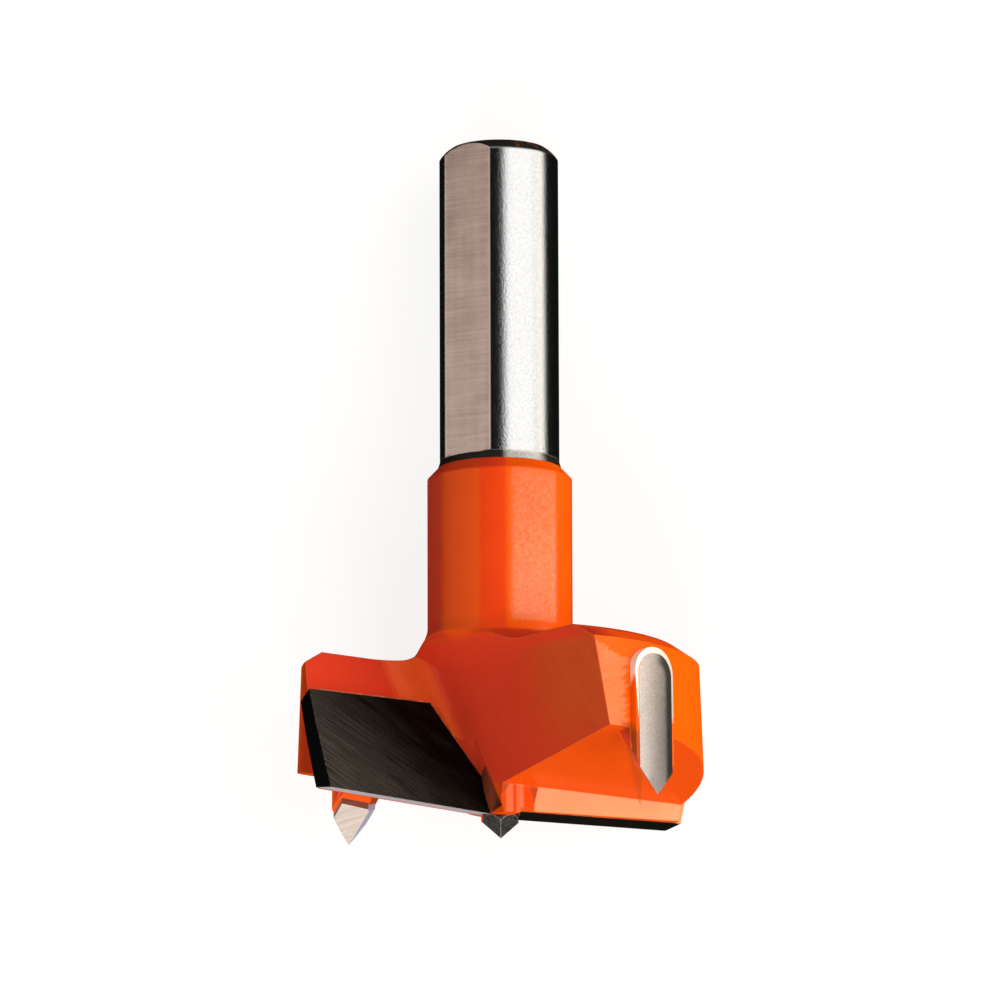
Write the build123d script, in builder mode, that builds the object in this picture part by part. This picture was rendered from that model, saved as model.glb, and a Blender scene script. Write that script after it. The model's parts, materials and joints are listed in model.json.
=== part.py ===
from build123d import *
from math import cos, radians, sin, tan
import os

os.makedirs("parts", exist_ok=True)

# Turned form: lengths in millimetres along the axis of the bit, angles in degrees
cutting_diameter = 35.0
overall_length = 57.2
shank_diameter = 10.0
shank_length = 26.9
shank_end_chamfer = 0.9
shank_end_crown = 3.0
shank_foot_step = 0.2
shank_foot_length = 0.6
flat_distance = 4.39
flat_azimuth = -162.5
neck_diameter = 12.1
neck_shoulder_run = 1.5
neck_root_radius = 2.4
head_height = 13.6
head_clearance = 0.5
head_top_clearance = 0.94
rim_run = 1.6
rim_drop = 1.1

# Cutter plates
rake_angle = 22.0
edge_rise = 2.27
edge_lead = 0.656
land_clearance = 7.3
plate_thickness = 2.0
plate_outer_height = 9.45
plate_inner_height = 10.15
plate_inner_top = 5.32
plate_inner_slope = 29.3
plate_corner_radius = 1.4
plate_braze = 0.12

# Chip gullets
core_offset = 1.59
core_lean = 9.26
core_turn = 4.7
gullet_run_out = 0.33
gullet_corner_radius = 3.8

# Step and relief behind each cutting edge
land_backing = 0.15
step_height = 2.35
relief_angle = 11.3
post_diameter = 5.6

# Scoring spurs
spur_azimuth = -78.5
spur_drop = 0.25
spur_length = 11.75
spur_width = 3.95
spur_top_clearance = 0.13
spur_depth = 2.4
spur_back_shift = 0.1
spur_trail_side = 1.2
spur_lead_side = 1.15
spur_crown_radius = 1.85
spur_point_slope = 44.1
spur_relief_slope = 48.0
spur_braze = 0.3
spur_braze_head = 0.5
spur_braze_setback = 0.05
boss_point_slope = 46.0
boss_relief_slope = 52.0
boss_setback = 0.1
boss_wall = 0.15

# Centre point
point_diameter = 2.95
point_length = 12.0
point_drop = 1.75
point_half_angle = 38.7
point_flat = 0.04
point_turn = 99.4

# Length screw in the end of the shank
screw_diameter = 5.0
screw_length = 8.0
screw_recess = 0.3
screw_fit = 0.05
screw_end_chamfer = 0.5
screw_socket = 2.5
screw_socket_depth = 2.5
screw_bore_depth = 12.0

cutting_radius = cutting_diameter / 2
head_radius = cutting_radius - head_clearance
head_top_radius = cutting_radius - head_top_clearance
neck_radius = neck_diameter / 2
shank_radius = shank_diameter / 2
shank_top = overall_length - spur_drop
shoulder_top = shank_top - shank_length
reach = cutting_diameter
below = -reach / 2

# Planes of one wing, whose edge lies along +X; the other wing is half a turn away
edge_direction = Vector(cos(radians(edge_rise)), 0, sin(radians(edge_rise)))
face_up = Vector(0, -sin(radians(rake_angle)), cos(radians(rake_angle)))
face_into = edge_direction.cross(face_up).normalized()
face_plane = Plane(origin=(0, edge_lead, 0), x_dir=edge_direction, z_dir=face_into)
seat_plane = face_plane.offset(plate_thickness + plate_braze)
land_back = Vector(0, cos(radians(land_clearance)), -sin(radians(land_clearance)))
land_plane = Plane(
    origin=(0, edge_lead, 0),
    x_dir=edge_direction,
    z_dir=edge_direction.cross(land_back),
)
core_normal = Vector(
    cos(radians(core_lean)) * cos(radians(core_turn)),
    cos(radians(core_lean)) * sin(radians(core_turn)),
    -sin(radians(core_lean)),
)
core_plane = Plane(
    origin=core_normal * core_offset,
    x_dir=(-sin(radians(core_turn)), cos(radians(core_turn)), 0),
    z_dir=core_normal,
)

# Frame of a spur: x round the head, y outwards or up, origin on the cutting circle
spur_out = Vector(cos(radians(spur_azimuth)), sin(radians(spur_azimuth)), 0)
spur_round = Vector(-sin(radians(spur_azimuth)), cos(radians(spur_azimuth)), 0)
spur_front_plane = Plane(origin=spur_out * cutting_radius, x_dir=spur_round, z_dir=spur_out)
spur_foot_plane = Plane(
    origin=spur_out * cutting_radius - Vector(0, 0, spur_drop),
    x_dir=spur_round,
    z_dir=(0, 0, 1),
)

# Turned blank
with BuildPart() as blank:
    with BuildSketch(Plane.XZ):
        with BuildLine():
            Polyline(
                (neck_radius, head_height + neck_root_radius),
                (neck_radius, shoulder_top - neck_shoulder_run),
                (shank_radius + shank_foot_step, shoulder_top - shank_foot_length),
                (shank_radius, shoulder_top),
                (shank_radius, shank_top - shank_end_chamfer),
            )
            RadiusArc(
                (shank_radius, shank_top - shank_end_chamfer),
                (shank_radius - shank_end_chamfer, shank_top),
                -shank_end_crown,
            )
            Polyline(
                (shank_radius - shank_end_chamfer, shank_top),
                (0, shank_top),
                (0, 0),
                (head_radius, 0),
                (head_top_radius, head_height - rim_drop),
                (head_top_radius - rim_run, head_height),
                (neck_radius + neck_root_radius, head_height),
            )
            RadiusArc(
                (neck_radius + neck_root_radius, head_height),
                (neck_radius, head_height + neck_root_radius),
                neck_root_radius,
            )
        make_face()
    revolve(axis=Axis.Z)

# Chip gullet in front of one wing, as the space that the mill clears: a wall in line
# with the seat of the plate, the core face as floor, and a ceiling that passes just over the
# rim of the head and runs out in the neck
wall_line = seat_plane.intersect(core_plane)
wall_foot = core_plane.to_local_coords(wall_line.position)
wall_run = core_plane.to_local_coords(wall_line.position + wall_line.direction) - wall_foot
rim_radius = head_top_radius - rim_run
rim_above_core = head_height * cos(radians(core_lean)) + rim_radius * sin(radians(core_lean))
ceiling = rim_above_core + gullet_run_out
wall_low = wall_foot + wall_run * ((below - wall_foot.Y) / wall_run.Y)
wall_high = wall_foot + wall_run * ((ceiling - wall_foot.Y) / wall_run.Y)
core_axis = Axis(core_plane.origin, core_plane.z_dir)
with BuildPart() as gullet:
    with BuildSketch(core_plane):
        with BuildLine():
            Polyline(
                (wall_low.X, below),
                (wall_high.X, ceiling),
                (reach, ceiling),
                (reach, below),
                close=True,
            )
        make_face()
    extrude(amount=reach)
    floor_edges = gullet.faces().sort_by(core_axis)[0].edges()
    wall_edge = floor_edges.sort_by(Axis.Y)[0]
    ceiling_edge = floor_edges.sort_by(Axis.Z)[-1]
    fillet([wall_edge, ceiling_edge], radius=gullet_corner_radius)

# Outline of a seat, square to the face of its cutter plate, and of the plate itself, which
# has its inner corner rounded
plate_inner_foot = plate_inner_top - plate_inner_height * tan(radians(plate_inner_slope))
with BuildSketch() as seat_outline:
    with BuildLine():
        Polyline(
            (plate_inner_foot, 0),
            (reach, 0),
            (reach, plate_outer_height),
            (cutting_radius, plate_outer_height),
            (plate_inner_top, plate_inner_height),
            close=True,
        )
    make_face()
with BuildSketch() as plate_outline:
    add(seat_outline)
    fillet(plate_outline.vertices().sort_by(Axis.X)[0], radius=plate_corner_radius)

# Space under the land of one wing
with BuildPart() as land_cut:
    with BuildSketch(land_plane):
        with Locations((reach / 2, 0)):
            Rectangle(reach, 2 * reach)
    extrude(amount=-reach)

# Cutter plate, its seat in the corner of the gullet, and the braze between them
with BuildPart() as plate:
    with BuildSketch(face_plane):
        add(plate_outline)
    extrude(amount=plate_thickness)
    add(land_cut, mode=Mode.SUBTRACT)
    Cylinder(cutting_radius, reach, mode=Mode.INTERSECT)
    Cylinder(point_diameter / 2 + plate_braze, reach, mode=Mode.SUBTRACT)
with BuildPart() as seat:
    with BuildSketch(seat_plane):
        add(seat_outline)
        offset(amount=plate_braze, kind=Kind.INTERSECTION)
    extrude(amount=-gullet_corner_radius)
with BuildPart() as point_braze:
    Cylinder(point_diameter / 2 + plate_braze, reach)
    add(seat, mode=Mode.INTERSECT)
with BuildPart() as plate_braze_layer:
    with BuildSketch(seat_plane):
        add(seat_outline)
        offset(amount=plate_braze, kind=Kind.INTERSECTION)
    extrude(amount=-(plate_thickness + plate_braze))
    add(point_braze)
    add(land_cut, mode=Mode.SUBTRACT)
    add(plate, mode=Mode.SUBTRACT)
    add(blank, mode=Mode.INTERSECT)
    Cylinder(point_diameter / 2, reach, mode=Mode.SUBTRACT)
    split(bisect_by=Plane.YZ)

# Spur: a carbide tooth with an angled back and a roof-shaped point, ground to the cutting
# circle with some clearance upwards, and its round-backed pocket with room for the braze
spur_top = spur_length - spur_drop
spur_back = spur_width / 2 + spur_braze
spur_room = spur_length + spur_braze_head
pocket_centre = spur_depth + spur_braze - spur_back
point_slope = tan(radians(spur_point_slope))
flank_direction = (Vector(0, 0, tan(radians(spur_relief_slope))) - spur_out).normalized()
with BuildSketch() as spur_front:
    with Locations((0, spur_top - reach / 2)):
        Rectangle(spur_width, reach)
    fillet(spur_front.vertices().group_by(Axis.Y)[-1], radius=spur_crown_radius)
with BuildSketch() as pocket_front:
    with Locations((0, spur_top + spur_braze_head - reach / 2)):
        Rectangle(2 * spur_back, reach)
    fillet(pocket_front.vertices().group_by(Axis.Y)[-1], radius=spur_crown_radius + spur_braze)
with BuildPart() as spur_point:
    with BuildSketch(spur_front_plane):
        with BuildLine():
            Polyline(
                (-spur_width, below),
                (-spur_width, spur_width * point_slope - spur_drop),
                (0, -spur_drop),
                (spur_width, spur_width * point_slope - spur_drop),
                (spur_width, below),
                close=True,
            )
        make_face()
    extrude(amount=cutting_radius, dir=flank_direction)
with BuildPart() as spur:
    with BuildSketch(spur_foot_plane):
        with BuildLine():
            Polyline(
                (-spur_width / 2, -spur_depth),
                (-spur_width / 2, spur_trail_side),
                (spur_back_shift, spur_depth),
                (spur_width / 2, spur_lead_side),
                (spur_width / 2, -spur_depth),
                close=True,
            )
        make_face()
    extrude(amount=spur_length)
    with BuildSketch(spur_front_plane.offset(spur_depth)):
        add(spur_front)
    extrude(amount=-2 * spur_depth, mode=Mode.INTERSECT)
    with Locations((0, 0, -spur_drop)):
        Cone(
            cutting_radius,
            cutting_radius - spur_top_clearance,
            spur_room,
            align=(Align.CENTER, Align.CENTER, Align.MIN),
            mode=Mode.INTERSECT,
        )
    add(spur_point, mode=Mode.SUBTRACT)
with BuildPart() as pocket:
    with BuildSketch(spur_foot_plane):
        with Locations((0, pocket_centre)):
            Circle(spur_back)
        with Locations((0, pocket_centre - spur_depth / 2)):
            Rectangle(2 * spur_back, spur_depth)
    extrude(amount=spur_room)
    with BuildSketch(spur_front_plane.offset(spur_depth)):
        add(pocket_front)
    extrude(amount=-reach / 2, mode=Mode.INTERSECT)

# Space under the relief of one wing; the boss round the spur and the post round the
# centre point are left standing, and the braze of the spur ends level with its boss and
# just inside the ground face
lean = tan(radians(rake_angle))
seat_back = edge_lead - (plate_thickness + plate_braze + land_backing) / cos(radians(rake_angle))
step_top = seat_back - lean * step_height
relief_end = step_height + tan(radians(relief_angle)) * (step_top + reach)
boss_slope = tan(radians(boss_point_slope))
boss_direction = (Vector(0, 0, tan(radians(boss_relief_slope))) - spur_out).normalized()
boss_side = spur_back + boss_wall
boss_corner = boss_slope * boss_side - boss_setback
with BuildPart() as boss:
    with BuildSketch(spur_front_plane):
        with BuildLine():
            Polyline(
                (0, -boss_setback),
                (boss_side, boss_corner),
                (boss_side, relief_end),
                (-boss_side, relief_end),
                (-boss_side, boss_corner),
                close=True,
            )
        make_face()
    extrude(amount=cutting_radius, dir=boss_direction)
with BuildPart() as relief_cut:
    with BuildSketch(Plane.YZ):
        with BuildLine():
            Polyline(
                (seat_back - lean * below, below),
                (step_top, step_height),
                (-reach, relief_end),
                (-reach, below),
                close=True,
            )
        make_face()
    extrude(amount=reach, both=True)
    add(boss, mode=Mode.SUBTRACT)
    Cylinder(post_diameter / 2, reach, mode=Mode.SUBTRACT)
with BuildPart() as spur_braze_layer:
    add(pocket)
    add(relief_cut, mode=Mode.SUBTRACT)
    add(spur_point, mode=Mode.SUBTRACT)
    with Locations((0, 0, -spur_drop)):
        Cone(
            cutting_radius - spur_braze_setback,
            cutting_radius - spur_top_clearance - spur_braze_setback,
            spur_room,
            align=(Align.CENTER, Align.CENTER, Align.MIN),
            mode=Mode.INTERSECT,
        )
    add(spur, mode=Mode.SUBTRACT)

# Length screw with a hexagon socket, and its place in the end of the shank
screw_plane = Plane.XY.offset(shank_top - screw_recess)
with BuildPart() as length_screw:
    with BuildSketch(screw_plane):
        Circle(screw_diameter / 2)
    extrude(amount=-screw_length)
    chamfer(length_screw.faces().sort_by(Axis.Z)[0].edges(), length=screw_end_chamfer)
    with BuildSketch(screw_plane):
        RegularPolygon(screw_socket / 2, 6, major_radius=False)
    extrude(amount=-screw_socket_depth, mode=Mode.SUBTRACT)

# Body: shank with its driving flat, neck and two-winged head
flat_plane = Plane(
    origin=(0, 0, shoulder_top),
    x_dir=(cos(radians(flat_azimuth)), sin(radians(flat_azimuth)), 0),
    z_dir=(0, 0, 1),
)
with BuildPart() as body:
    add(blank)
    with PolarLocations(0, 2):
        add(gullet, mode=Mode.SUBTRACT)
        add(land_cut, mode=Mode.SUBTRACT)
        add(relief_cut, mode=Mode.SUBTRACT)
        add(seat, mode=Mode.SUBTRACT)
        add(pocket, mode=Mode.SUBTRACT)
    with BuildSketch(Plane.XY.offset(-point_drop)):
        Circle(point_diameter / 2)
    extrude(amount=point_length, mode=Mode.SUBTRACT)
    with BuildSketch(Plane.XY.offset(shank_top)):
        Circle(screw_diameter / 2 + screw_fit)
    extrude(amount=-screw_bore_depth, mode=Mode.SUBTRACT)
    with BuildSketch(flat_plane):
        with Locations((flat_distance + shank_radius, 0)):
            Rectangle(shank_diameter, shank_diameter)
    extrude(amount=shank_length, mode=Mode.SUBTRACT)

# Centre point: a carbide pin with a square pyramid ground on its end
grind_width = 2 * point_diameter
grind_height = (grind_width - point_flat) / 2 / tan(radians(point_half_angle))
grind_plane = Plane.XY.offset(grind_height - point_drop)
with BuildPart() as point_grind:
    with BuildSketch(grind_plane):
        Rectangle(grind_width, grind_width, rotation=point_turn)
    extrude(amount=-grind_height, taper=point_half_angle)
    with BuildSketch(grind_plane):
        Rectangle(grind_width, grind_width, rotation=point_turn)
    extrude(amount=point_length)
with BuildPart() as centre_point:
    with BuildSketch(Plane.XY.offset(-point_drop)):
        Circle(point_diameter / 2)
    extrude(amount=point_length)
    add(point_grind, mode=Mode.INTERSECT)

# Rest: the bit lies on the outer corner of one edge, on the top of the core face where it
# meets the outside of the head, and on the rim of the end of the shank
corner_run = (cutting_radius**2 - edge_lead**2) ** 0.5
edge_corner = Vector(corner_run, edge_lead, corner_run * tan(radians(edge_rise)))
rim_height = head_height - rim_drop
core_across = (core_offset + sin(radians(core_lean)) * rim_height) / cos(radians(core_lean))
core_along = (head_top_radius**2 - core_across**2) ** 0.5
core_out = Vector(cos(radians(core_turn)), sin(radians(core_turn)), 0)
core_corner = core_out * core_across + core_plane.x_dir * core_along + Vector(0, 0, rim_height)
rim_centre = Vector(0, 0, shank_top - shank_end_chamfer)
rest_rounds = 10
rest_up = Vector(0, -1, 0)
for _ in range(rest_rounds):
    rim_point = rim_centre - Vector(rest_up.X, rest_up.Y, 0).normalized() * shank_radius
    rest_up = (core_corner - rim_point).cross(edge_corner - rim_point).normalized()
shank_side = Vector(0, 0, 1).cross(rest_up).normalized()
floor_plane = Plane(origin=edge_corner, x_dir=shank_side, z_dir=rest_up)

# Every piece by its name; the small ones stand once at each wing
pieces = {
    "body": body.part,
    "centre_point": centre_point.part,
    "length_screw": length_screw.part,
}
wing_pieces = {
    "cutter_plate": plate.part,
    "cutter_braze": plate_braze_layer.part,
    "spur": spur.part,
    "spur_braze": spur_braze_layer.part,
}
for name, piece in wing_pieces.items():
    for number, turn in enumerate((0, 180), start=1):
        pieces[f"{name}_{number}"] = piece.rotate(Axis.Z, turn)

# Laid down on the floor, with the origin under the middle of the whole bit
lying = {name: floor_plane.to_local_coords(piece) for name, piece in pieces.items()}
extent = Compound(list(lying.values())).bounding_box()
to_middle = Location((-extent.center().X, -extent.center().Y, 0))
for name, piece in lying.items():
    placed = piece.moved(to_middle)
    placed.label = name
    export_step(placed, f"parts/{name}.step")
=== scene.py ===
import json
from math import cos, pi, radians, sin

import bpy
from mathutils import Matrix, Quaternion, Vector

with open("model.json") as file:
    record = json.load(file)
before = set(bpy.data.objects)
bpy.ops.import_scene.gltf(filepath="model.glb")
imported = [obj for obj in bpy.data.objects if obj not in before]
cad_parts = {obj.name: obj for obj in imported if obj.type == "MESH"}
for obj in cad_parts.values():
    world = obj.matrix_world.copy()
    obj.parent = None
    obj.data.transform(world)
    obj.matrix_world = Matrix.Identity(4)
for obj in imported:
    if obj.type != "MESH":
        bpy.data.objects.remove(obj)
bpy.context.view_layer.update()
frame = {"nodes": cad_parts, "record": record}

MM = 0.001
mounts = {mount["name"]: mount for mount in frame["record"]["mounts"]}

# The bit's own frame: its axis, the direction of the driving flat and the point on the
# axis level with the cutting edges
SHANK_MIDDLE = 43.05 * MM
FLAT_TURN = -126.912
WING_TURN = 35.588
bit_axis = Vector(mounts["shank"]["axis"]).normalized()
flat_out = Vector(mounts["driving_flat"]["axis"]).normalized()
bit_foot = Vector(mounts["shank"]["pos_m"]) - bit_axis * SHANK_MIDDLE


def around(degrees):
    """The direction square to the bit's axis at that turn from the photographed view's right."""
    return Quaternion(bit_axis, radians(degrees - FLAT_TURN)) @ flat_out


view_right = around(0)
view_near = around(-90)
wing_out = around(WING_TURN)
wing_front = around(WING_TURN + 90)


def toward(turn, rise):
    """A direction at that turn round the axis and that rise above its square plane."""
    return around(turn) * cos(radians(rise)) + bit_axis * sin(radians(rise))


def across(side, along, front, up):
    """A direction given for wing 1, or turned half round for wing 2 with a side of -1."""
    return wing_out * along * side + wing_front * front * side + bit_axis * up


class Shade:
    """One socket of a node tree. Arithmetic on it adds Math nodes."""

    def __init__(self, tree, socket=None):
        self.tree = tree
        self.socket = socket

    def node(self, kind, settings=None, inputs=None, out=0):
        """A new node: its settings first, then values or links into its sockets."""
        new = self.tree.nodes.new(kind)
        for name, value in (settings or {}).items():
            setattr(new, name, value)
        for name, value in (inputs or {}).items():
            if isinstance(value, Shade):
                self.tree.links.new(value.socket, new.inputs[name])
            else:
                new.inputs[name].default_value = value
        return Shade(self.tree, new.outputs[out]) if new.outputs else None

    def math(self, operation, *values):
        return self.node("ShaderNodeMath", {"operation": operation}, dict(enumerate(values)))

    def __add__(self, other):
        return self.math("ADD", self, other)

    def __sub__(self, other):
        return self.math("SUBTRACT", self, other)

    def __rsub__(self, other):
        return self.math("SUBTRACT", other, self)

    def __mul__(self, other):
        return self.math("MULTIPLY", self, other)

    def __truediv__(self, other):
        return self.math("DIVIDE", self, other)

    def __pow__(self, other):
        return self.math("POWER", self, other)

    def __abs__(self):
        return self.math("ABSOLUTE", self)

    __radd__ = __add__
    __rmul__ = __mul__

    def either(self, other):
        return self.math("MAXIMUM", self, other)

    def step(self, low, high):
        """0 below low, 1 above high, smooth between."""
        return self.node(
            "ShaderNodeMapRange",
            {"interpolation_type": "SMOOTHSTEP"},
            {"Value": self, "From Min": low, "From Max": high},
        )

    def mix(self, first, second):
        """The first colour where this mask is 0, the second where it is 1."""
        new = self.tree.nodes.new("ShaderNodeMix")
        new.data_type = "RGBA"
        self.tree.links.new(self.socket, new.inputs[0])
        colours = [socket for socket in new.inputs if socket.type == "RGBA"]
        for socket, colour in zip(colours, (first, second)):
            if isinstance(colour, Shade):
                self.tree.links.new(colour.socket, socket)
            else:
                socket.default_value = (*colour, 1)
        return Shade(self.tree, [socket for socket in new.outputs if socket.type == "RGBA"][0])


class Finish:
    """A material for the bit, with the bit's own coordinates in millimetres."""

    def __init__(self, name):
        self.material = bpy.data.materials.new(name)
        self.material.use_nodes = True
        tree = self.material.node_tree
        tree.nodes.clear()
        self.maker = Shade(tree)
        here = self.maker.node("ShaderNodeTexCoord", out="Object")
        self.place = self.vector("SUBTRACT", here, tuple(bit_foot))
        self.place = self.vector("SCALE", self.place, scale=1 / MM)
        self.x = self.along(wing_out)
        self.y = self.along(wing_front)
        self.z = self.along(bit_axis)
        self.normal = self.maker.node("ShaderNodeNewGeometry", out="True Normal")

    def vector(self, operation, first, second=None, scale=None):
        inputs = {0: first}
        if second is not None:
            inputs[1] = second
        if scale is not None:
            inputs["Scale"] = scale
        out = 1 if operation == "DOT_PRODUCT" else 0
        return self.maker.node("ShaderNodeVectorMath", {"operation": operation}, inputs, out)

    def along(self, direction):
        """How far the surface lies that way from the bit's foot, in millimetres."""
        return self.vector("DOT_PRODUCT", self.place, tuple(direction))

    def off_axis(self):
        """How far the surface lies from the bit's axis, in millimetres."""
        return (self.x * self.x + self.y * self.y) ** 0.5

    def facing(self, direction):
        """How far the surface faces that way, from -1 to 1."""
        return self.vector("DOT_PRODUCT", self.normal, tuple(direction))

    def both(self, along, front, up):
        """How far the surface faces that direction of its own wing."""
        first = self.facing(across(1, along, front, up))
        return first.either(self.facing(across(-1, along, front, up)))

    def point(self, x, y, z=0.0):
        return self.maker.node("ShaderNodeCombineXYZ", None, {0: x, 1: y, 2: z})

    def noise(self, point, scale, detail=2.0, roughness=0.5):
        return self.maker.node(
            "ShaderNodeTexNoise",
            None,
            {"Vector": point, "Scale": scale, "Detail": detail, "Roughness": roughness},
        )

    def soft_normal(self, radius):
        """The normal with edges rounded to that radius in millimetres."""
        return self.maker.node("ShaderNodeBevel", {"samples": 4}, {"Radius": radius * MM})

    def edge(self, rounded):
        """0 on a face, and more where the rounded normal turns away at an edge."""
        return 1 - self.vector("DOT_PRODUCT", rounded, self.normal)

    def bump(self, height, distance, normal=None):
        """A normal from a height, where a height of 1 stands for that many millimetres."""
        inputs = {"Height": height, "Distance": distance * MM, "Strength": 1.0}
        if normal is not None:
            inputs["Normal"] = normal
        return self.maker.node("ShaderNodeBump", None, inputs)

    def surface(self, gloss=None, **sockets):
        """The finished material. Where gloss is given, it mixes a clear shine over a dull one."""
        inputs = {name.replace("_", " "): value for name, value in sockets.items()}
        shader = self.maker.node("ShaderNodeBsdfPrincipled", None, inputs)
        if gloss is not None:
            inputs["Specular IOR Level"] = 0.5
            shiny = self.maker.node("ShaderNodeBsdfPrincipled", None, inputs)
            shader = self.maker.node("ShaderNodeMixShader", None, {0: gloss, 1: shader, 2: shiny})
        self.maker.node("ShaderNodeOutputMaterial", None, {"Surface": shader})
        return self.material


# Sizes of the bit that the finishes follow, in millimetres and degrees
PAINT_TOP = 29.45
SHANK_FOOT = 30.05
SHANK_MID_HEIGHT = 43.0
CHAMFER_FOOT = 56.05
FLAT_HALF_WIDTH = 2.26
STEP_HEIGHT = 2.4
RAKE = 22.0
EDGE_RISE = 2.27
CORE_LEAN = 9.26
CORE_TURN = 4.7
CORNER_LIFT = 9.0
SPUR_TURN = -78.5
SPUR_CROWN_HEIGHT = 9.6
SPUR_MIDDLE = 0.12
SPUR_HALF_WIDTH = 1.86

# Where one zone of the body passes into the next, in millimetres: the start and the end
# of each change
RIM_INSIDE = (15.4, 15.9)
RIM_CHAMFER_INSIDE = (15.2, 15.4)
GULLET_TOP = (15.6, 16.4)
POST_SIDE = (2.6, 3.0)
POST_TOP = (2.3, 2.6)
STEP_WALL_INSIDE = (1.8, 1.95)
NECK_FOOT = (14.0, 15.0)
ROOT_FOOT = (13.3, 13.6)
ROOT_TOP = (15.2, 15.9)
GLOW_FOOT = (15.45, 15.75)
GLOW_TOP = (27.6, 28.5)
SHOULDER_FOOT = (28.3, 28.5)

# The same round the neck, where -1 is its left edge in the photographed view and 1 its right
LEFT_HUE_START = (-0.84, -0.72)
MIDDLE_HUE_START = (-0.32, -0.24)
BRIGHT_HUE_START = (0.04, 0.14)
GLOW_START = (0.10, 0.24)
GLOW_END = (0.74, 0.79)

# Places on the near wing, in millimetres to the photographed view's right of the axis
# Stripes of painted highlight down the post
POST_HIGHLIGHT_STRIPES = ((0.74, 0.20), (1.62, 0.22))
NOTCH_LEFT = 9.93
NOTCH_HEIGHT = 5.0
NOTCH_SLOPE = 0.545
NOTCH_RIGHT = (11.6, 11.8)
GLARE_RIGHT = (10.0, 10.4)
GLARE_SHOULDER = 10.9

# Enamel of the head
ENAMEL = (0.82, 0.080, 0.004)
# Painted shade: the gullets' enamel is deeper red where shade falls in them
ENAMEL_GULLET_PAINTED_SHADE = (0.77, 0.056, 0.022)
ENAMEL_GULLET_GRAIN = (0.30, 0.02, 0.008)
# Painted light: lighter enamel on the rim
ENAMEL_RIM_PAINTED_LIGHT = (0.93, 0.116, 0.002)
# Painted highlight along the gullets' corners
ENAMEL_HOLLOW_PAINTED_HIGHLIGHT = (0.98, 0.125, 0.024)
# Painted shade on the rim's chamfer and left side, and on the neck's shoulder and root
ENAMEL_PAINTED_SHADE = (0.46, 0.026, 0.011)
ENAMEL_CLOUD = (0.55, 0.03, 0.004)
ENAMEL_UNDER = (0.83, 0.086, 0.004)
# Painted highlight on the step wall and the post, also on a plate's flank
ENAMEL_STEP_PAINTED_HIGHLIGHT = (1.0, 0.35, 0.17)
ENAMEL_STEP_SHADED = (0.50, 0.06, 0.012)
# Painted shade in the notch by the near spur
ENAMEL_NOTCH_PAINTED_SHADE = (0.40, 0.062, 0.014)
ENAMEL_CUTTER_MARKS = (0.68, 0.089, 0.018)
ENAMEL_CUTTER_ARCS = (0.72, 0.13, 0.03)
# Thin enamel and painted highlight on the edges
ENAMEL_THIN_EDGE_PAINTED_HIGHLIGHT = (1.0, 0.17, 0.02)
ENAMEL_DARK_EDGE = (0.22, 0.035, 0.008)
# Painted highlights on the rim and the neck
PEACH_PAINTED_HIGHLIGHT = (0.93, 0.26, 0.105)
PEACH_DEEP_PAINTED_HIGHLIGHT = (0.93, 0.13, 0.02)

# Enamel of the neck, from left to right, as painted light and shade round it
NECK_EDGE_PAINTED_SHADE = (0.60, 0.052, 0.024)
NECK_LEFT_PAINTED_LIGHT = (0.82, 0.094, 0.013)
NECK_MIDDLE_PAINTED_LIGHT = (0.81, 0.060, 0.009)
NECK_BRIGHT_PAINTED_LIGHT = (0.93, 0.108, 0.002)

# Steel, carbide and braze. Where there are two, the grain runs from the first to the second.
GROUND_STEEL = ((0.225, 0.235, 0.25), (0.32, 0.33, 0.34))
# The flat's mix also carries painted highlights along its edges
CROSS_GROUND_STEEL = ((0.36, 0.245, 0.20), (0.72, 0.53, 0.45))
# Painted highlight on the shank's foot
FOOT_PAINTED_HIGHLIGHT = (0.60, 0.60, 0.58)
SCALE_BLACK = (0.020, 0.018, 0.016)
# Painted glint on the end's scale
SCALE_PAINTED_GLINT = (0.22, 0.07, 0.015)
# Painted dark reflection on the carbide's flanks
CARBIDE_PAINTED_DARK_REFLECTION = (0.001, 0.001, 0.001)
# The plate face's mix also carries painted light, lighter outward
PLATE_FACE = ((0.001, 0.0005, 0.0002), (0.072, 0.064, 0.054))
PLATE_CHIPS = (0.30, 0.24, 0.19)
# The lands' painted reflections, dark and pale
LAND_PAINTED_DARK_REFLECTION = (0.006, 0.006, 0.005)
LAND_PAINTED_PALE_REFLECTION = (0.50, 0.46, 0.52)
# The spur face's mix also carries painted light, lighter low down
SPUR_FACE = ((0.46, 0.40, 0.36), (0.77, 0.70, 0.66))
SPUR_INSIDE = ((0.20, 0.17, 0.155), (0.34, 0.31, 0.285))
# Painted dark reflection along a spur face's lead edge
SPUR_PAINTED_DARK_REFLECTION = (0.07, 0.064, 0.060)
SPUR_BARE_SIDE = (0.50, 0.55, 0.80)
BEAD_METAL = ((0.92, 0.80, 0.68), (1.0, 0.93, 0.84))
BEAD_SHADED = (0.30, 0.055, 0.012)
PLATE_BRAZE = ((0.30, 0.055, 0.010), (0.62, 0.20, 0.06))
PLATE_BRAZE_INNER = (0.30, 0.055, 0.016)
POINT_CARBIDE = ((0.003, 0.003, 0.003), (0.085, 0.078, 0.074))
POINT_RIDGES = (0.42, 0.39, 0.37)
BLACKENED_STEEL = ((0.012, 0.012, 0.013), (0.05, 0.048, 0.045))


def tool_vector(turn, rise):
    """A unit vector of a wing's own frame, at that turn from its edge and that rise."""
    return (
        cos(radians(rise)) * cos(radians(turn)),
        cos(radians(rise)) * sin(radians(turn)),
        sin(radians(rise)),
    )


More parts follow.
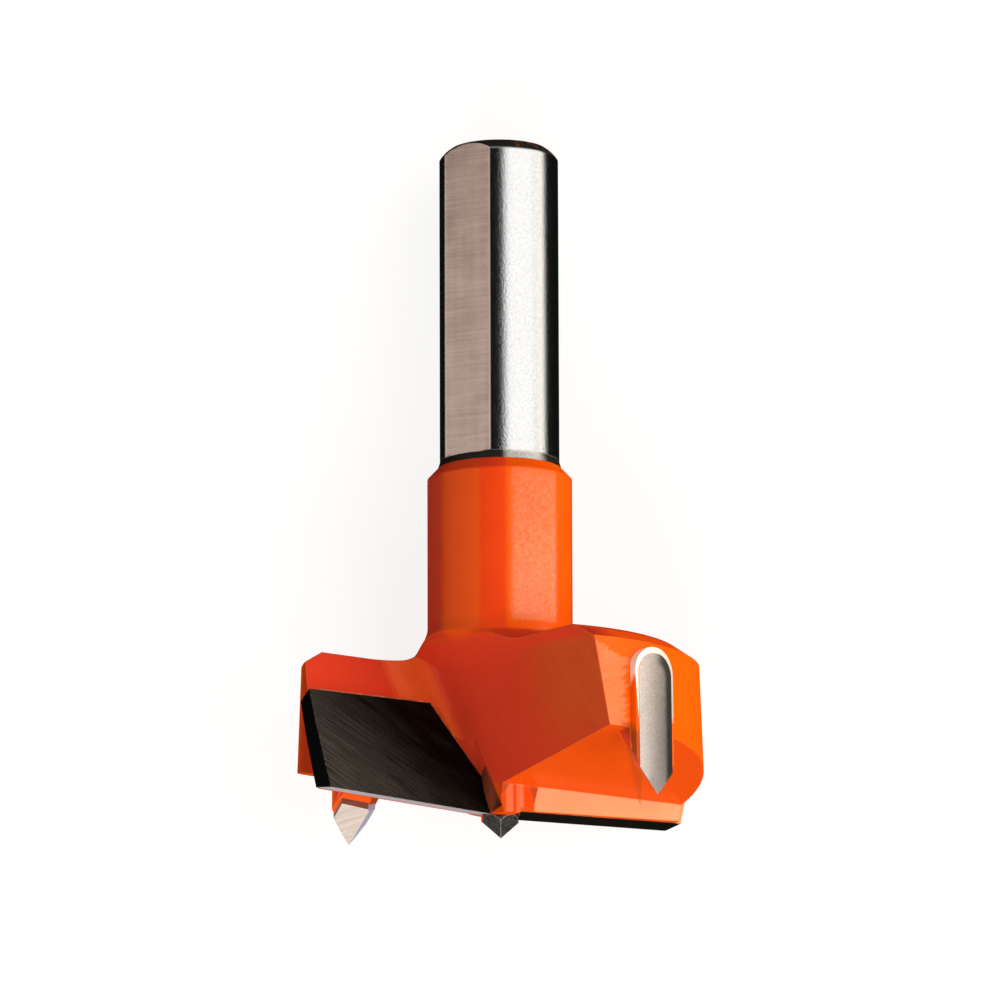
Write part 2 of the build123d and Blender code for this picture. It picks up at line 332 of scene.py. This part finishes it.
class BodyFinish(Finish):
    """The body's finish: enamel on the head and the neck, bare steel on the shank."""

    def __init__(self):
        super().__init__("enamel_and_ground_steel")
        self.measure()
        self.grain()
        self.find_zones()
        self.find_steel()

    def measure(self):
        """Where the surface lies and how it faces, as the zones use it."""
        self.radius = self.off_axis()
        self.right = self.along(view_right)
        self.sideways = self.right / self.radius
        outward = self.facing(wing_out) * self.x + self.facing(wing_front) * self.y
        self.outward = outward / self.radius
        self.upward = self.facing(bit_axis)
        self.near = self.facing(view_near).step(0.0, 0.3)
        self.flat_run = self.along(bit_axis.cross(flat_out))
        self.rounded = self.soft_normal(0.22)

    def grain(self):
        """The noises that more than one part of the finish shares."""
        self.waver = self.noise(self.place, 1.3) - 0.5
        self.peel = self.noise(self.place, 3.2, 3.0, 0.6)
        self.fine = self.noise(self.place, 4.0, 3.0, 0.65)
        self.speckle = self.noise(self.place, 5.0, 3.0, 0.7)
        slant = self.point((self.z - self.right * 0.55) * 2.6, self.right * 0.5)
        self.strokes = self.noise(slant, 1.0, 2.0, 0.6)
        across_core = self.y * -0.93 + self.z * 0.37
        arc = self.point(across_core * 3.2 + self.z * self.z * 0.05, abs(self.y) * 0.1)
        self.arcs = self.noise(arc, 1.0, 2.0, 0.6)
        cross_cut = self.point(self.flat_run * 0.10, (self.z + self.flat_run * 0.05) * 3.6)
        self.cross_lines = self.noise(cross_cut, 1.0, 4.0, 0.65)

    def find_zones(self):
        """Masks of the head's and the neck's zones."""
        self.rim = self.radius.step(*RIM_INSIDE) * self.outward.step(0.86, 0.93)
        self.chamfer = self.radius.step(*RIM_CHAMFER_INSIDE) * self.upward.step(0.5, 0.7)
        self.under = self.facing(-bit_axis).step(0.85, 0.95)
        post = (1 - self.radius.step(*POST_SIDE)) * (1 - self.z.step(*POST_TOP))
        self.post = post * self.near
        self.core = self.both(*tool_vector(CORE_TURN, -CORE_LEAN))
        wall = self.both(0, cos(radians(RAKE)), sin(radians(RAKE)))
        corner = self.both(*tool_vector(CORE_TURN / 2 + 45, CORNER_LIFT))
        gullet = corner.either(self.core).either(wall).step(0.66, 0.74)
        gullet = gullet * (1 - self.z.step(*GULLET_TOP)) * (1 - self.rim)
        self.gullet = gullet * (1 - self.upward.step(0.45, 0.6)) * (1 - self.post)
        # The strip along the gullets' corners that takes a painted highlight
        self.hollow_highlight = corner.step(0.82, 0.96) * self.gullet
        self.neck = self.z.step(*NECK_FOOT) * self.near
        self.around_neck = self.sideways + self.waver * 0.03
        root = self.z.step(*ROOT_FOOT) * (1 - self.z.step(*ROOT_TOP))
        root = root * (1 - self.gullet) * (1 - self.rim) * (1 - self.chamfer)
        self.root = root * self.around_neck.step(-0.6, 0.1)

    def find_steel(self):
        """Masks of the bare steel, its flat and the scale on its end and at its foot."""
        self.steel = (self.z + self.waver * 0.12).step(PAINT_TOP - 0.04, PAINT_TOP + 0.04)
        flat = self.facing(flat_out).step(0.985, 0.995)
        self.flat = flat * self.z.step(SHANK_FOOT, SHANK_FOOT + 0.05)
        end = self.z.step(CHAMFER_FOOT + 0.02, CHAMFER_FOOT + 0.10)
        self.end = end * (1 - self.flat)
        foot = (self.z + self.waver * 0.5).step(SHANK_FOOT - 0.02, SHANK_FOOT + 0.16)
        self.foot = 1 - foot
        self.scale = self.end.either(self.foot)

    def gullet_paint(self):
        """Deeper enamel in the milled gullets as painted shade, a painted highlight along their
        corners, and the marks of the cutter under it.
        """
        # Painted shade in the gullets, and a painted highlight along their corners
        colour = self.gullet.mix(ENAMEL, ENAMEL_GULLET_PAINTED_SHADE)
        colour = (self.hollow_highlight * 0.9).mix(colour, ENAMEL_HOLLOW_PAINTED_HIGHLIGHT)
        marked = self.core.step(0.97, 0.99) * abs(self.y).step(5.0, 13.0)
        marked = marked * self.z.step(1.0, 9.0)
        colour = marked.mix(colour, ENAMEL_CUTTER_MARKS)
        return (self.arcs.step(0.52, 0.72) * marked * 0.5).mix(colour, ENAMEL_CUTTER_ARCS)

    def rim_paint(self, colour):
        """Lighter enamel on the rim as painted light, with a ragged pale glare, a painted
        highlight, beside the near spur.
        """
        colour = self.rim.mix(colour, ENAMEL_RIM_PAINTED_LIGHT)
        ragged = self.right + (self.strokes - 0.5) * 3.2
        ragged = ragged + (self.z - GLARE_SHOULDER).either(0) * 2.0
        glare = (1 - ragged.step(*GLARE_RIGHT)) * self.rim * self.near * self.right.step(0.0, 1.0)
        # Painted highlight on the rim beside the near spur
        tone = (self.strokes * 0.8 + self.fine * 0.4 - 0.1).mix(PEACH_DEEP_PAINTED_HIGHLIGHT, PEACH_PAINTED_HIGHLIGHT)
        colour = glare.mix(colour, tone)
        shaded_chamfer = self.chamfer * (1 - self.sideways.step(0.45, 0.62))
        return shaded_chamfer.mix(colour, ENAMEL_PAINTED_SHADE)

    def underside_paint(self, colour):
        """The underside, the step behind the plate with its painted highlight and shade, the post
        at the point with stripes of painted highlight, and the notch with its painted shade.
        """
        colour = self.under.mix(colour, ENAMEL_UNDER)
        # Painted highlight on the step wall behind the plate, with painted shade close to the post
        step_wall = self.both(0, -cos(radians(RAKE)), -sin(radians(RAKE))).step(0.96, 0.99)
        step_wall = step_wall * (1 - self.z.step(STEP_HEIGHT, STEP_HEIGHT + 0.3))
        clear_of_post = abs(self.x).step(*STEP_WALL_INSIDE)
        colour = step_wall.mix(colour, clear_of_post.mix(ENAMEL_STEP_SHADED, ENAMEL_STEP_PAINTED_HIGHLIGHT))
        colour = self.post.mix(colour, ENAMEL_UNDER)
        # Painted highlights down the post, in two stripes
        first, second = [1 - abs(self.right - at).step(half, half + 0.16) for at, half in POST_HIGHLIGHT_STRIPES]
        streaks = self.noise(self.point(self.right * 5.0, self.z * 0.4), 1.0, 1.0)
        ridges = first.either(second) * (0.35 + streaks * 0.9)
        colour = (self.post * ridges).mix(colour, ENAMEL_STEP_PAINTED_HIGHLIGHT)
        # Painted shade in the notch beside the near spur
        notch = self.right - NOTCH_LEFT + (self.z - NOTCH_HEIGHT) * NOTCH_SLOPE
        notch = notch.step(-0.05, 0.25) * (1 - self.right.step(*NOTCH_RIGHT))
        notch = notch * self.z.step(0.5, 2.0) * (1 - self.z.step(5.2, 5.8)) * self.near
        colour = (notch * 0.8).mix(colour, ENAMEL_NOTCH_PAINTED_SHADE)
        # Painted shade on the rim's left side
        left_rim = self.rim * self.near * (1 - self.sideways.step(-0.95, -0.6))
        return (left_rim * 0.80).mix(colour, ENAMEL_PAINTED_SHADE)

    def neck_paint(self, colour):
        """Painted light and shade round the neck, one hue after another, a pale painted highlight,
        and a shaded root and shoulder.
        """
        turn = self.around_neck
        # Painted light and shade round the neck, one hue after another
        band = turn.step(*LEFT_HUE_START).mix(NECK_EDGE_PAINTED_SHADE, NECK_LEFT_PAINTED_LIGHT)
        band = turn.step(*MIDDLE_HUE_START).mix(band, NECK_MIDDLE_PAINTED_LIGHT)
        band = turn.step(*BRIGHT_HUE_START).mix(band, NECK_BRIGHT_PAINTED_LIGHT)
        # A pale painted highlight on the neck
        glow = turn.step(*GLOW_START) * (1 - turn.step(*GLOW_END))
        glow = glow * self.z.step(*GLOW_FOOT) * (1 - self.z.step(*GLOW_TOP))
        glow = glow * (0.54 + (self.peel - 0.5) * 1.4 - self.z.step(18.0, 28.0) * 0.38)
        colour = self.neck.mix(colour, glow.mix(band, PEACH_PAINTED_HIGHLIGHT))
        shoulder = self.z.step(*SHOULDER_FOOT) * (1 - turn.step(-0.35, 0.2) * 0.65)
        colour = (shoulder * 0.6).mix(colour, ENAMEL_PAINTED_SHADE)
        return (self.root * 0.85).mix(colour, ENAMEL_PAINTED_SHADE)

    def worn_paint_and_edge_highlight(self, colour):
        """Thin enamel and a painted highlight on the edges, grain in the gullets and a faint
        cloudiness all over.
        """
        # Lighter edges: thin enamel and a painted highlight
        thin_paint_and_highlight = self.edge(self.rounded).step(0.01, 0.05) * (0.75 + self.waver * 1.2)
        thin_paint_and_highlight = thin_paint_and_highlight * (1 - self.z.step(26.0, 28.0))
        low_core = self.core.step(0.9, 0.95) * (1 - self.z.step(5.0, 7.0))
        colour = (thin_paint_and_highlight * 0.65).mix(colour, low_core.mix(ENAMEL_THIN_EDGE_PAINTED_HIGHLIGHT, ENAMEL_DARK_EDGE))
        grain = (self.fine - 0.5) * 0.5 * self.gullet
        colour = grain.mix(colour, ENAMEL_GULLET_GRAIN)
        cloud = self.noise(self.place, 0.35, 3.0).step(0.3, 0.75)
        return (cloud * 0.10).mix(colour, ENAMEL_CLOUD)

    def steel_colour(self):
        """Cross-ground flat, round-ground shank, and scale on the end and at the foot, with
        painted highlights on the flat's edges and on the foot and painted glints on the end.
        """
        long_lines = self.noise(self.point(self.flat_run * 1.4, self.z * 0.05), 1.0, 2.0)
        patches = self.noise(self.point(self.flat_run * 0.35, self.z * 0.35), 1.0, 2.0)
        shade = (self.cross_lines - 0.5) * 1.2 + (long_lines - 0.5) * 0.4
        shade = shade + (self.speckle - 0.5) * 0.7 + (patches - 0.5) * 0.7
        shade = shade + 0.5 - (self.z - SHANK_MID_HEIGHT) * 0.012
        # Painted highlights along the flat's two edges
        shade = shade + abs(self.flat_run).step(FLAT_HALF_WIDTH - 0.08, FLAT_HALF_WIDTH) * 0.5
        ground = ((self.speckle - 0.5) * 1.6 + 0.5).mix(*GROUND_STEEL)
        colour = self.flat.mix(ground, shade.mix(*CROSS_GROUND_STEEL))
        # Painted glints on the right of the end's scale
        painted_glint = self.noise(self.place, 1.6, 3.0).step(0.50, 0.60)
        painted_glint = painted_glint * self.end * self.sideways.step(0.1, 0.5)
        colour = self.scale.mix(colour, painted_glint.mix(SCALE_BLACK, SCALE_PAINTED_GLINT))
        # Painted highlight on the foot, carrying on the shank's bright band
        lit_foot = self.foot * self.sideways.step(0.02, 0.15)
        lit_foot = lit_foot * (1 - self.sideways.step(0.62, 0.8)) * (0.15 + self.speckle)
        return lit_foot.mix(colour, FOOT_PAINTED_HIGHLIGHT)

    def relief(self):
        """Heights in millimetres: orange peel in the enamel, grinding lines in the steel."""
        peel = self.noise(self.place, 1.6, 1.5) * 0.012 + self.peel * 0.02
        paint = peel * (1 - self.gullet * 0.7) + self.strokes * self.rim * 0.012
        paint = paint + self.arcs * self.gullet * 0.012
        round_cut = self.point(self.x * 0.25, self.y * 0.25, self.z * 7.0)
        round_lines = self.noise(round_cut, 1.0, 3.0, 0.6)
        steel = (self.speckle * 0.018 + round_lines * 0.002) * (1 - self.flat)
        steel = steel + (self.cross_lines * 0.004 + self.speckle * 0.002) * self.flat
        return paint * (1 - self.steel) + steel * self.steel

    def roughness(self):
        steel = 0.15 + self.flat * 0.20 + (self.speckle - 0.5) * 0.14 + self.scale * 0.24
        return 0.15 * (1 - self.steel) + steel * self.steel

    def gloss(self):
        """Where the enamel shines: least in the gullets, underneath and left on the neck."""
        gloss = (1 - self.gullet * 0.75) * (1 - self.under * 0.7) * (1 - self.chamfer * 0.9)
        gloss = gloss * (1 - self.rim * 0.88) * (1 - self.root) * (1 - self.steel)
        gloss = gloss * (0.6 + self.peel * 0.8)
        left_of_neck = (1 - self.around_neck.step(*GLOW_START)) * self.neck
        gloss = gloss * (1 - left_of_neck * 0.85) * (1 - self.neck * 0.55)
        return gloss * (1 - self.z.step(28.3, 28.6)) * self.z.step(2.0, 2.6)


def body_finish():
    f = BodyFinish()
    paint = f.gullet_paint()
    paint = f.rim_paint(paint)
    paint = f.underside_paint(paint)
    paint = f.neck_paint(paint)
    paint = f.worn_paint_and_edge_highlight(paint)
    return f.surface(
        gloss=f.gloss(),
        Base_Color=f.steel.mix(paint, f.steel_colour()),
        Metallic=f.steel * (1 - f.scale * 0.6),
        Roughness=f.roughness(),
        Specular_IOR_Level=0.0,
        Normal=f.bump(f.relief(), 1.0, normal=f.rounded),
    )


def plate_finish(name, side, painted, land_colour):
    """Ground carbide of a cutter plate: slanting grinding lines on its face, painted light that
    grows outward, and a plain land in a painted reflection's colour.
    """
    f = Finish(name)
    rise = radians(EDGE_RISE)
    rake = radians(RAKE)
    slant = radians(33)
    run = f.along(across(side, cos(rise), 0, sin(rise)))
    up = f.along(across(side, 0, -sin(rake), cos(rake)))
    between = up * cos(slant) - run * sin(slant)
    with_lines = run * cos(slant) + up * sin(slant)
    lines = f.noise(f.point(between * 9.0, with_lines * 0.16), 1.0, 3.0, 0.7)
    broad = f.noise(f.point(between * 0.8, with_lines * 0.2), 1.0, 2.0)
    grains = f.noise(f.place, 9.0, 2.0, 0.7)
    face = f.facing(across(side, 0, cos(rake), sin(rake))).step(0.9, 0.97)
    land = f.facing(-bit_axis).step(0.8, 0.95)
    # Painted light: the face gets lighter outward from the axis, and its lines show more there
    painted_light_outward = (run - up * 0.9).step(0.0, 15.5)
    shade = ((lines - 0.5) * 2.2 + (grains - 0.5) * 0.9) * (0.15 + painted_light_outward * 0.85)
    shade = shade + (broad - 0.5) * 0.25 + 0.02 + painted_light_outward * 0.48
    # The flank is a painted dark reflection; on the painted plate, enamel in the step wall's
    # painted highlight colour covers it above its foot
    flank = CARBIDE_PAINTED_DARK_REFLECTION
    if painted:
        flank = (f.z.step(0.5, 0.7) * 0.9).mix(CARBIDE_PAINTED_DARK_REFLECTION, ENAMEL_STEP_PAINTED_HIGHLIGHT)
    colour = face.mix(flank, shade.mix(*PLATE_FACE))
    # The land's colour is a painted reflection, dark or pale
    colour = land.mix(colour, land_colour)
    chips = f.edge(f.soft_normal(0.1)).step(0.01, 0.08)
    chips = chips * f.noise(f.place, 3.0, 3.0, 0.7).step(0.48, 0.66)
    colour = (chips * 0.5).mix(colour, PLATE_CHIPS)
    return f.surface(
        Base_Color=colour,
        Metallic=0.0,
        Roughness=0.42 + (lines - 0.5) * 0.2,
        Specular_IOR_Level=0.025,
        Normal=f.bump(lines * face + grains * 0.3, 0.006),
    )


def spur_finish(name, side, painted):
    """Ground carbide of a spur: grained face with a painted dark reflection along its lead edge,
    slanting lines inside.
    """
    f = Finish(name)
    turn = radians(SPUR_TURN)
    out = across(side, cos(turn), sin(turn), 0)
    lead = across(side, -sin(turn), cos(turn), 0)
    sideways = f.along(lead)
    face = f.facing(out).step(0.8, 0.95)
    grain = f.noise(f.place, 5.0, 3.0, 0.75)
    fine = f.noise(f.place, 14.0, 2.0, 0.7)
    drawn = f.noise(f.point((f.z + sideways * 0.45) * 5.0, sideways * 0.2), 1.0, 3.0, 0.65)
    # Painted light: the face gets lighter towards its bottom
    shade = (grain - 0.5) * 1.4 + (fine - 0.5) * 1.4 + 0.48 + (6.5 - f.z) * 0.06
    inner = ((drawn - 0.5) * 1.6 + 0.5).mix(*SPUR_INSIDE)
    colour = face.mix(inner, shade.mix(*SPUR_FACE))
    # Painted dark reflection in a band along the face's lead edge
    crown = (f.z - SPUR_CROWN_HEIGHT).either(0)
    across_crown = (sideways - SPUR_MIDDLE).either(0)
    inside = SPUR_HALF_WIDTH - (crown * crown + across_crown * across_crown) ** 0.5
    band = (1 - inside.step(0.45, 1.15)) * face * sideways.step(-0.2, 0.9)
    colour = (band * 0.90).mix(colour, SPUR_PAINTED_DARK_REFLECTION)
    trailing = f.facing(-lead).step(0.35, 0.5) * (1 - face)
    return f.surface(
        Base_Color=trailing.mix(colour, ENAMEL_UNDER if painted else SPUR_BARE_SIDE),
        Metallic=1 - trailing,
        Roughness=0.34 + (grain - 0.5) * 0.2,
        Normal=f.bump(grain * 0.6 + fine * 0.4, 0.012),
    )


def spur_braze_finish(name, side):
    """The bead of braze round a spur, bare where it was ground and painted lower down."""
    f = Finish(name)
    turn = radians(SPUR_TURN)
    lead = across(side, -sin(turn), cos(turn), 0)
    sideways = f.along(lead)
    waver = (f.noise(f.place, 2.2) - 0.5) * 1.2
    leading = sideways.step(-0.3, 0.3)
    taper = (sideways + 2.42 + (f.z - 11.2) * 0.08 + waver * 0.05).step(-0.04, 0.04)
    bare = (f.z + waver - leading * 0.8).step(5.0, 6.0) * taper.either(f.z.step(11.5, 11.8))
    grains = f.noise(f.place, 6.0, 2.0)
    lower = (1 - f.z.step(4.5, 5.5)) * (1 - leading)
    # The enamel here takes the rim's painted light, with painted shade lower on the trailing side
    paint = (lower * 0.75).mix(ENAMEL_RIM_PAINTED_LIGHT, BEAD_SHADED)
    wall = f.facing(-lead).step(0.5, 0.8)
    return f.surface(
        Base_Color=bare.mix(paint, grains.mix(*BEAD_METAL)),
        Metallic=bare * 0.6 * (1 - wall),
        Specular_IOR_Level=0.1,
        Roughness=0.36 + (grains - 0.5) * 0.2,
        Normal=f.bump(grains, 0.02),
    )


def plate_braze_finish():
    """The thin line of braze round a plate, darkened by heat and flecked with paint."""
    f = Finish("plate_braze")
    colour = f.noise(f.place, 1.2, 3.0).step(0.45, 0.7).mix(*PLATE_BRAZE)
    near_point = 1 - f.off_axis().step(2.6, 4.6)
    grains = f.noise(f.place, 6.0, 2.0)
    return f.surface(
        Base_Color=near_point.mix(colour, PLATE_BRAZE_INNER),
        Metallic=0.15,
        Roughness=0.5 + (grains - 0.5) * 0.2,
        Normal=f.bump(grains, 0.02),
    )


def point_finish():
    """Dark ground carbide of the centre point, mottled, with lighter ridges."""
    f = Finish("point_carbide")
    rounded = f.soft_normal(0.12)
    mottle = f.noise(f.place, 4.0, 4.0, 0.75)
    rings = f.noise(f.point(f.z * 9.0, f.x * 0.6, f.y * 0.6), 1.0, 2.0)
    shade = (mottle - 0.5) * 3.2 + (rings - 0.5) * 0.8 + 0.30
    ridges = f.edge(rounded).step(0.01, 0.10) * 0.8
    return f.surface(
        Base_Color=ridges.mix(shade.mix(*POINT_CARBIDE), POINT_RIDGES),
        Metallic=0.35,
        Roughness=0.42 + (mottle - 0.5) * 0.3,
        Normal=f.bump(mottle, 0.02, normal=rounded),
    )


def screw_finish():
    """Blackened steel of the length screw, with turning marks."""
    f = Finish("blackened_screw")
    grains = f.noise(f.place, 4.0, 3.0)
    turned = f.noise(f.point(f.z * 0.3, f.off_axis() * 9.0), 1.0, 2.0)
    return f.surface(
        Base_Color=grains.mix(*BLACKENED_STEEL),
        Metallic=0.6,
        Roughness=0.4 + (grains - 0.5) * 0.3,
        Normal=f.bump(turned * 0.5 + grains * 0.5, 0.015),
    )


def dress(node, material):
    mesh = frame["nodes"][node].data
    mesh.materials.clear()
    mesh.materials.append(material)


dress("body", body_finish())
dress("centre_point", point_finish())
dress("length_screw", screw_finish())
braze_line = plate_braze_finish()
for wing, side, painted, land in ((1, 1, True, LAND_PAINTED_DARK_REFLECTION), (2, -1, False, LAND_PAINTED_PALE_REFLECTION)):
    dress(f"cutter_plate_{wing}", plate_finish(f"plate_carbide_{wing}", side, painted, land))
    dress(f"cutter_braze_{wing}", braze_line)
    dress(f"spur_{wing}", spur_finish(f"spur_carbide_{wing}", side, painted))
    dress(f"spur_braze_{wing}", spur_braze_finish(f"spur_braze_{wing}", side))

# Camera at the photograph's place, in degrees, millimetres and pixels a millimetre
VIEW_RISE = 12.133
VIEW_DISTANCE = 708.8
VIEW_RIGHT = -0.0202
VIEW_UP = 26.31
VIEW_ROLL = -0.183
LENS_SCALE = 12.065
IMAGE_WIDTH = 1000
SENSOR = 36.0


def camera():
    forward = toward(90, VIEW_RISE)
    upward = view_right.cross(forward).normalized()
    spot = bit_foot + (upward * VIEW_UP - view_right * VIEW_RIGHT - forward * VIEW_DISTANCE) * MM
    turn = Matrix((view_right, upward, -forward)).transposed().to_4x4()
    data = bpy.data.cameras.new("camera")
    data.sensor_width = SENSOR
    data.lens = LENS_SCALE * VIEW_DISTANCE / IMAGE_WIDTH * SENSOR
    data.clip_end = 100
    made = bpy.data.objects.new("camera", data)
    made.matrix_world = (
        Matrix.Translation(spot) @ turn @ Matrix.Rotation(radians(VIEW_ROLL), 4, "Z")
    )
    bpy.context.scene.collection.objects.link(made)
    bpy.context.scene.camera = made


# Studio. The bit lies on the floor along Y, with its head at -Y.
KEY_COLOUR = (1.0, 0.93, 0.84)
LEFT_COLOUR = (1.0, 0.90, 0.80)
FRONT_COLOUR = (1.0, 0.92, 0.82)
LOW_COLOUR = (1.0, 0.90, 0.78)
CARD_BLACK = (0.01, 0.01, 0.01)
CARD_GLOW = (3.6, 3.3, 2.9)
CARD_LIFT = 0.2


def heading(turn, rise):
    """A direction from the bit: a turn on the floor from its right, and a rise above it."""
    level = Vector((cos(radians(turn)), sin(radians(turn)), 0))
    return level * cos(radians(rise)) + Vector((0, 0, sin(radians(rise))))


def softbox(name, turn, rise, distance, size, brightness, colour, mirrored=True):
    """A rectangular lamp that faces the bit, seen from it at that brightness."""
    back = heading(turn, rise)
    width, height = (length * MM for length in size)
    data = bpy.data.lights.new(name, "AREA")
    data.shape = "RECTANGLE"
    data.size = width
    data.size_y = height
    data.energy = brightness * pi * width * height
    data.color = colour
    made = bpy.data.objects.new(name, data)
    side = Vector((0, 0, 1)).cross(back).normalized()
    turned = Matrix((side, back.cross(side), back)).transposed().to_4x4()
    made.matrix_world = Matrix.Translation(back * distance * MM) @ turned
    made.visible_camera = False
    made.visible_glossy = mirrored
    bpy.context.scene.collection.objects.link(made)


def stage_material(name):
    material = bpy.data.materials.new(name)
    material.use_nodes = True
    material.node_tree.nodes.clear()
    return material, Shade(material.node_tree)


def staged_sheet(name, corners, material):
    """A flat four-cornered sheet of the studio, given by its corners in metres."""
    data = bpy.data.meshes.new(name)
    data.from_pydata(corners, [], [(0, 1, 2, 3)])
    data.materials.append(material)
    made = bpy.data.objects.new(name, data)
    bpy.context.scene.collection.objects.link(made)
    return made


def card(name, corners, colour=CARD_BLACK):
    """A card that only reflections show, given by its four corners in millimetres."""
    material, maker = stage_material(name)
    glow = maker.node("ShaderNodeEmission", None, {"Color": (*colour, 1)})
    maker.node("ShaderNodeOutputMaterial", None, {"Surface": glow})
    made = staged_sheet(name, [tuple(c * MM for c in corner) for corner in corners], material)
    made.visible_camera = False
    made.visible_diffuse = False
    made.visible_transmission = False
    made.visible_shadow = False


def floor_card(name, corners, colour=CARD_BLACK):
    card(name, [(*corner, CARD_LIFT) for corner in corners], colour)


def seen_directly(maker):
    """1 for the camera and for what mirrors and clear things show it."""
    seen = maker.node("ShaderNodeLightPath", out="Is Camera Ray")
    for ray in ("Is Glossy Ray", "Is Transmission Ray"):
        seen = seen.either(maker.node("ShaderNodeLightPath", out=ray))
    return seen


def floor():
    """A matt floor that looks near white where it is seen, and keeps the bit's shadow."""
    material, maker = stage_material("pale_floor")
    matt = maker.node("ShaderNodeBsdfDiffuse", None, {"Color": (0.8, 0.8, 0.8, 1)})
    faint = maker.node("ShaderNodeBsdfDiffuse", None, {"Color": (0.28, 0.28, 0.28, 1)})
    glow = maker.node("ShaderNodeEmission", None, {"Color": (1, 1, 1, 1), "Strength": 0.82})
    shown = maker.node("ShaderNodeAddShader", None, {0: faint, 1: glow})
    chosen = maker.node(
        "ShaderNodeMixShader", None, {0: seen_directly(maker), 1: matt, 2: shown}
    )
    maker.node("ShaderNodeOutputMaterial", None, {"Surface": chosen})
    half = 3.0
    staged_sheet(
        "floor", [(-half, -half, 0), (half, -half, 0), (half, half, 0), (-half, half, 0)], material
    )


def room():
    """A white background where it is seen, and a faint even light from it elsewhere."""
    world = bpy.data.worlds.new("room")
    world.use_nodes = True
    world.node_tree.nodes.clear()
    maker = Shade(world.node_tree)
    back = maker.node(
        "ShaderNodeBackground",
        None,
        {"Color": (1, 1, 1, 1), "Strength": seen_directly(maker) * 0.8 + 0.2},
    )
    maker.node("ShaderNodeOutputWorld", None, {"Surface": back})
    bpy.context.scene.world = world


def cards():
    """What the polished steel and the enamel mirror: dark zones, and a glow on the right."""
    by_head = (30, -8)
    by_neck = (28, 4)
    by_shank = (15, 44)
    floor_card("card_under_head", [(-130, -70), (200, -70), (200, 22), by_head])
    floor_card("card_far_right", [(200, -90), (600, -90), (600, 100), (200, 22)])
    floor_card("card_under_neck", [(-130, -70), by_head, by_neck, (-130, 4)])
    floor_card("card_under_shank", [(-130, 4), by_neck, by_shank, (-130, 44)])
    floor_card("card_under_end", [(-130, 44), by_shank, (15, 120), (-130, 120)])
    floor_card("glow_by_neck", [by_head, (200, 22), (200, 50), by_neck], CARD_GLOW)
    floor_card("glow_by_shank", [by_neck, (200, 50), (200, 90), by_shank], CARD_GLOW)
    overhead = [(-900, -900), (380, -900), (380, 900), (-900, 900)]
    card("card_overhead", [(*corner, 800) for corner in overhead])
    left = [(-300, 0.4), (300, 0.4), (300, 95), (-300, 95)]
    card("card_left", [(-320, *corner) for corner in left])


camera()
floor()
room()
cards()
softbox("key", 8, 28.5, 460, (620, 545), 2.6, KEY_COLOUR)
softbox("left_fill", 160, 40, 460, (400, 300), 0.8, LEFT_COLOUR, mirrored=False)
softbox("front_light", -90, 38, 460, (400, 300), 3.0, FRONT_COLOUR)
softbox("low_front", -26, 5.5, 420, (260, 72), 4.0, LOW_COLOUR)
bpy.context.scene.view_settings.view_transform = "Standard"
